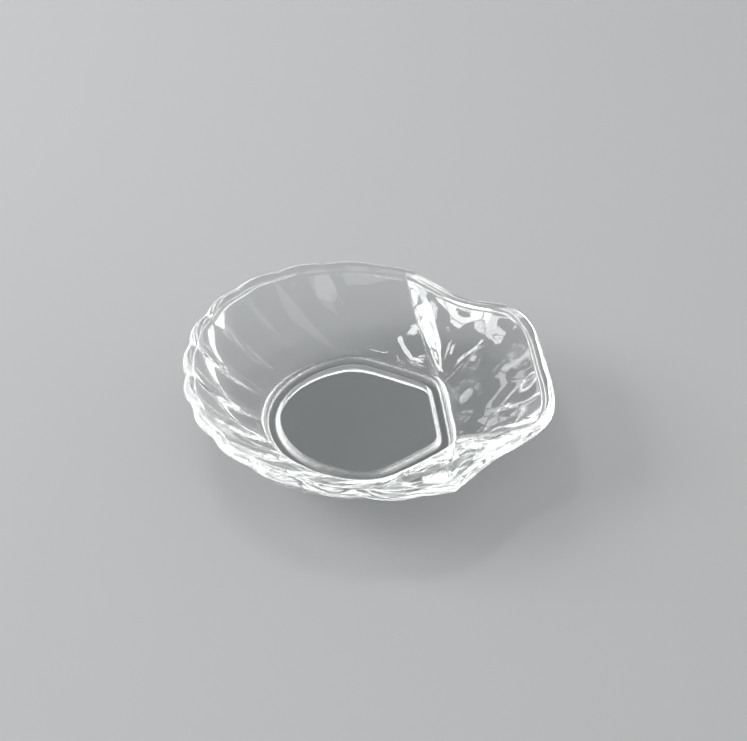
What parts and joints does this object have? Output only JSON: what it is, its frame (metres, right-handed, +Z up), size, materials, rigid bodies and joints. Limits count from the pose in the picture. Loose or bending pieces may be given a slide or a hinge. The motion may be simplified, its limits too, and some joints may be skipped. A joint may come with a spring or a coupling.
{
  "type": "ice cream bowl",
  "caption": "Clear pressed-glass bowl in the form of a scallop shell, with a fluted fan wall, a flared ear and a foot ring, for a serving of ice cream.",
  "frame": {"origin": "middle of the bowl's length and width, on the table under its foot ring", "axes": "+Z up, +X from the back of the fluted fan to the end of the ear, +Y across the fan"},
  "size_m": [0.1297, 0.1436, 0.031],
  "materials": {
    "clear_glass": "clear fire-polished glass"
  },
  "bodies": {
    "root": {"glass_bowl": "clear_glass"}
  },
  "joints": []
}
